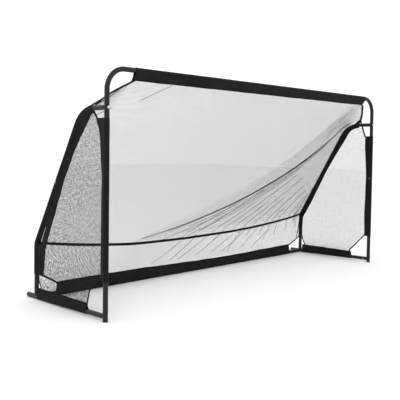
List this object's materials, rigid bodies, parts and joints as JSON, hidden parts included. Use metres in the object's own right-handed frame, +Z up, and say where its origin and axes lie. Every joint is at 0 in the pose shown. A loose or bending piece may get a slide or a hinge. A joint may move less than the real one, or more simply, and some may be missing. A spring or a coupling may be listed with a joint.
{
  "type": "soccer goal frame",
  "caption": "Portable goal for small-sided football: slip-together tube frame with snap-button joints, fabric sleeves, back and side nets.",
  "frame": {"origin": "on the ground, in the middle of the goal's overall width and depth", "axes": "+X to the right seen from the pitch, +Y from the mouth to the back, +Z up"},
  "size_m": [3.666, 1.0847, 1.8319],
  "materials": {
    "powder_coat": "satin black powder coat",
    "zinc_steel": "zinc plated",
    "bright_steel": "bright plated",
    "moulded_plastic": "fine moulded grain",
    "sleeve_fabric": "coated woven polyester",
    "net_mesh": "open knitted mesh",
    "webbing": "flat woven webbing"
  },
  "bodies": {
    "frame": {"arm_bolts": "bright_steel", "arm_plugs": "bright_steel", "arm_saddle_left": "moulded_plastic", "arm_saddle_right": "moulded_plastic", "arm_washers": "bright_steel", "back_net": "net_mesh", "clip_springs": "zinc_steel", "corner_tube_left": "powder_coat", "corner_tube_right": "powder_coat", "crossbar_sleeve": "sleeve_fabric", "crossbar_tube_left": "powder_coat", "crossbar_tube_right": "powder_coat", "foot_cap_left": "moulded_plastic", "foot_cap_right": "moulded_plastic", "joiner_crossbar_left": "zinc_steel", "joiner_crossbar_middle": "zinc_steel", "joiner_crossbar_right": "zinc_steel", "joiner_rear_middle": "zinc_steel", "joiner_stanchion_left": "zinc_steel", "joiner_stanchion_right": "zinc_steel", "joiner_upright_left": "zinc_steel", "joiner_upright_right": "zinc_steel", "knee_band": "webbing", "lower_upright_left": "powder_coat", "lower_upright_right": "powder_coat", "rear_cap_left": "moulded_plastic", "rear_cap_right": "moulded_plastic", "rear_ground_sleeve": "sleeve_fabric", "rear_ground_tube_left": "powder_coat", "rear_ground_tube_right": "powder_coat", "side_ground_sleeve_left": "sleeve_fabric", "side_ground_sleeve_right": "sleeve_fabric", "side_ground_tube_left": "powder_coat", "side_ground_tube_right": "powder_coat", "side_net_left": "net_mesh", "side_net_right": "net_mesh", "stanchion_lower_left": "powder_coat", "stanchion_lower_right": "powder_coat", "stanchion_sleeve_left": "sleeve_fabric", "stanchion_sleeve_right": "sleeve_fabric", "stanchion_upper_left": "powder_coat", "stanchion_upper_right": "powder_coat", "upright_sleeve_left": "sleeve_fabric", "upright_sleeve_right": "sleeve_fabric"},
    "button_crossbar_left": {"button_crossbar_left": "zinc_steel"},
    "button_crossbar_middle": {"button_crossbar_middle": "zinc_steel"},
    "button_crossbar_right": {"button_crossbar_right": "zinc_steel"},
    "button_front_left": {"button_front_left": "zinc_steel"},
    "button_front_right": {"button_front_right": "zinc_steel"},
    "button_post_left": {"button_post_left": "zinc_steel"},
    "button_post_right": {"button_post_right": "zinc_steel"},
    "button_rear_left": {"button_rear_left": "zinc_steel"},
    "button_rear_middle": {"button_rear_middle": "zinc_steel"},
    "button_rear_right": {"button_rear_right": "zinc_steel"},
    "button_stanchion_left": {"button_stanchion_left": "zinc_steel"},
    "button_stanchion_right": {"button_stanchion_right": "zinc_steel"},
    "button_upright_left": {"button_upright_left": "zinc_steel"},
    "button_upright_right": {"button_upright_right": "zinc_steel"}
  },
  "joints": [
    {"name": "button_crossbar_left_press", "type": "slide", "parent": "frame", "child": "button_crossbar_left", "axis": [0, -1, 0], "range_m": [0, 0.0048], "stiffness_N_per_m": 1500, "springref_m": -0.004},
    {"name": "button_crossbar_middle_press", "type": "slide", "parent": "frame", "child": "button_crossbar_middle", "axis": [0, -1, 0], "range_m": [0, 0.0048], "stiffness_N_per_m": 1500, "springref_m": -0.004},
    {"name": "button_crossbar_right_press", "type": "slide", "parent": "frame", "child": "button_crossbar_right", "axis": [0, -1, 0], "range_m": [0, 0.0048], "stiffness_N_per_m": 1500, "springref_m": -0.004},
    {"name": "button_front_left_press", "type": "slide", "parent": "frame", "child": "button_front_left", "axis": [-1, 0, 0], "range_m": [0, 0.0048], "stiffness_N_per_m": 1500, "springref_m": -0.004},
    {"name": "button_front_right_press", "type": "slide", "parent": "frame", "child": "button_front_right", "axis": [1, 0, 0], "range_m": [0, 0.0048], "stiffness_N_per_m": 1500, "springref_m": -0.004},
    {"name": "button_post_left_press", "type": "slide", "parent": "frame", "child": "button_post_left", "axis": [1, 0, 0], "range_m": [0, 0.0048], "stiffness_N_per_m": 1500, "springref_m": -0.004},
    {"name": "button_post_right_press", "type": "slide", "parent": "frame", "child": "button_post_right", "axis": [-1, 0, 0], "range_m": [0, 0.0048], "stiffness_N_per_m": 1500, "springref_m": -0.004},
    {"name": "button_rear_left_press", "type": "slide", "parent": "frame", "child": "button_rear_left", "axis": [0, -1, 0], "range_m": [0, 0.0048], "stiffness_N_per_m": 1500, "springref_m": -0.004},
    {"name": "button_rear_middle_press", "type": "slide", "parent": "frame", "child": "button_rear_middle", "axis": [0, -1, 0], "range_m": [0, 0.0048], "stiffness_N_per_m": 1500, "springref_m": -0.004},
    {"name": "button_rear_right_press", "type": "slide", "parent": "frame", "child": "button_rear_right", "axis": [0, -1, 0], "range_m": [0, 0.0048], "stiffness_N_per_m": 1500, "springref_m": -0.004},
    {"name": "button_stanchion_left_press", "type": "slide", "parent": "frame", "child": "button_stanchion_left", "axis": [1, 0, 0], "range_m": [0, 0.0048], "stiffness_N_per_m": 1500, "springref_m": -0.004},
    {"name": "button_stanchion_right_press", "type": "slide", "parent": "frame", "child": "button_stanchion_right", "axis": [-1, 0, 0], "range_m": [0, 0.0048], "stiffness_N_per_m": 1500, "springref_m": -0.004},
    {"name": "button_upright_left_press", "type": "slide", "parent": "frame", "child": "button_upright_left", "axis": [-1, 0, 0], "range_m": [0, 0.0048], "stiffness_N_per_m": 1500, "springref_m": -0.004},
    {"name": "button_upright_right_press", "type": "slide", "parent": "frame", "child": "button_upright_right", "axis": [1, 0, 0], "range_m": [0, 0.0048], "stiffness_N_per_m": 1500, "springref_m": -0.004}
  ]
}
